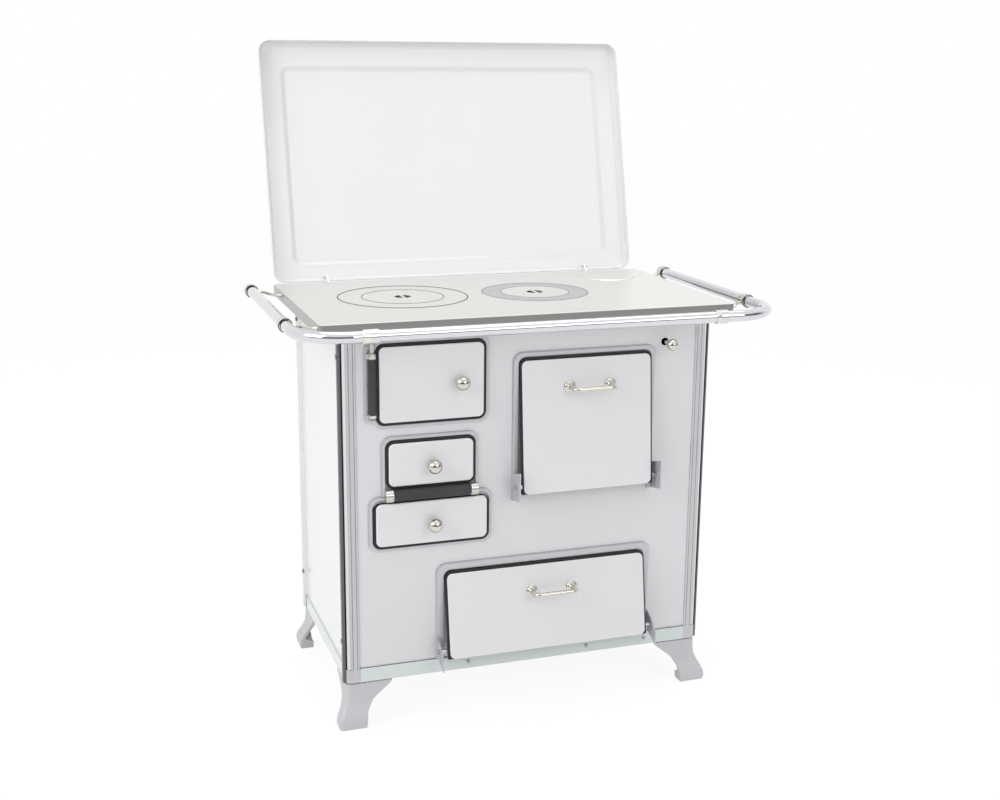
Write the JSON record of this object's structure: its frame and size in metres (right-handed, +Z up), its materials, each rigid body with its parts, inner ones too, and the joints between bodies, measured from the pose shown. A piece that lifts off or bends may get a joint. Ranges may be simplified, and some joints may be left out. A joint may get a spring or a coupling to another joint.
{
  "type": "wood-fired range cooker",
  "caption": "Wood-fired range cooker: enamelled casing on bracket legs, iron hob with loose rings, lift-up lid, handrail, hinged doors and an ash drawer.",
  "frame": {"origin": "centre of the whole object on the floor it stands on", "axes": "+Z up, -Y is the front with the doors, +X is to the right seen from the front"},
  "size_m": [0.973, 0.7578, 1.3171],
  "materials": {
    "white_enamel": "glossy vitreous enamel",
    "side_enamel": "glossy vitreous enamel",
    "grey_enamel": "glossy vitreous enamel",
    "pale_enamel": "glossy",
    "chromed_steel": "polished chrome plate",
    "nickel": "polished nickel plate",
    "ground_iron": "ground and polished",
    "grey_iron": "ground, duller",
    "black_iron": "black heat paint",
    "rim_enamel": "satin",
    "leg_paint": "satin aluminium paint",
    "zinc_steel": "zinc plated",
    "plain_steel": "plain sheet",
    "black_enamel": "black oven enamel",
    "raw_iron": "as cast",
    "fire_clay": "fired clay"
  },
  "bodies": {
    "root": {"ash_drawer_frame": "rim_enamel", "ash_housing": "raw_iron", "back_left_leg": "leg_paint", "back_left_post": "chromed_steel", "back_panel": "side_enamel", "back_right_leg": "leg_paint", "back_right_post": "chromed_steel", "base_tray": "pale_enamel", "casing_screws": "zinc_steel", "door_pivots": "zinc_steel", "fire_bricks": "fire_clay", "fire_door_frame": "rim_enamel", "flue_throat": "plain_steel", "front_left_leg": "leg_paint", "front_left_post": "chromed_steel", "front_panel": "grey_enamel", "front_rail": "chromed_steel", "front_right_leg": "leg_paint", "front_right_post": "chromed_steel", "grate": "raw_iron", "hinge_pins": "zinc_steel", "hob_plate": "ground_iron", "inner_shelf": "plain_steel", "left_panel": "side_enamel", "leg_bolts": "zinc_steel", "lid_hinges": "zinc_steel", "middle_door_frame": "rim_enamel", "oven_box": "black_enamel", "oven_frame": "rim_enamel", "oven_shelf": "zinc_steel", "rail_brackets": "nickel", "rail_elbows": "chromed_steel", "right_panel": "side_enamel", "side_rails": "chromed_steel", "wood_box": "plain_steel", "wood_frame": "rim_enamel"},
    "lid": {"lid": "white_enamel"},
    "fire_door": {"fire_door": "black_iron", "fire_door_cover": "white_enamel", "fire_door_knob": "nickel"},
    "middle_door": {"middle_door": "black_iron", "middle_door_cover": "white_enamel", "middle_door_knob": "nickel"},
    "ash_drawer": {"ash_drawer_front": "black_iron", "ash_drawer_cover": "white_enamel", "ash_drawer_knob": "nickel", "ash_tray": "plain_steel"},
    "oven_door": {"oven_door": "black_iron", "oven_door_cover": "white_enamel", "oven_door_handle": "nickel"},
    "wood_door": {"wood_door": "black_iron", "wood_door_cover": "white_enamel", "wood_door_handle": "nickel"},
    "damper": {"damper_rod": "nickel", "damper_plate": "plain_steel"},
    "left_ring": {"left_ring": "ground_iron"},
    "left_disc": {"left_disc": "ground_iron"},
    "right_ring": {"right_ring": "grey_iron"},
    "right_disc": {"right_disc": "ground_iron"},
    "flue_cover": {"flue_cover": "ground_iron"}
  },
  "joints": [
    {"name": "lid_hinge", "type": "hinge", "parent": "root", "child": "lid", "pos_m": [0, 0.2399, 0.8184], "axis": [-1, 0, 0], "range_deg": [-103.75, 0]},
    {"name": "fire_door_hinge", "type": "hinge", "parent": "root", "child": "fire_door", "pos_m": [-0.3193, -0.2514, 0.68875], "axis": [0, 0, -1], "range_deg": [0, 120]},
    {"name": "middle_door_hinge", "type": "hinge", "parent": "root", "child": "middle_door", "pos_m": [-0.20535, -0.2529, 0.4727], "axis": [1, 0, 0], "range_deg": [0, 90]},
    {"name": "ash_drawer_slide", "type": "slide", "parent": "root", "child": "ash_drawer", "axis": [0, -1, 0], "range_m": [0, 0.22]},
    {"name": "oven_door_hinge", "type": "hinge", "parent": "root", "child": "oven_door", "pos_m": [0.111, -0.2684, 0.471], "axis": [1, 0, 0], "range_deg": [0, 90]},
    {"name": "wood_door_hinge", "type": "hinge", "parent": "root", "child": "wood_door", "pos_m": [0.034, -0.2654, 0.145], "axis": [1, 0, 0], "range_deg": [0, 88]},
    {"name": "damper_slide", "type": "slide", "parent": "root", "child": "damper", "axis": [0, -1, 0], "range_m": [0, 0.1]},
    {"name": "left_ring_lift", "type": "slide", "parent": "root", "child": "left_ring", "axis": [0, 0, 1], "range_m": [0, 0.05]},
    {"name": "left_disc_lift", "type": "slide", "parent": "left_ring", "child": "left_disc", "axis": [0, 0, 1], "range_m": [0, 0.05]},
    {"name": "right_ring_lift", "type": "slide", "parent": "root", "child": "right_ring", "axis": [0, 0, 1], "range_m": [0, 0.05]},
    {"name": "right_disc_lift", "type": "slide", "parent": "right_ring", "child": "right_disc", "axis": [0, 0, 1], "range_m": [0, 0.05]},
    {"name": "flue_cover_lift", "type": "slide", "parent": "root", "child": "flue_cover", "axis": [0, 0, 1], "range_m": [0, 0.05]}
  ]
}
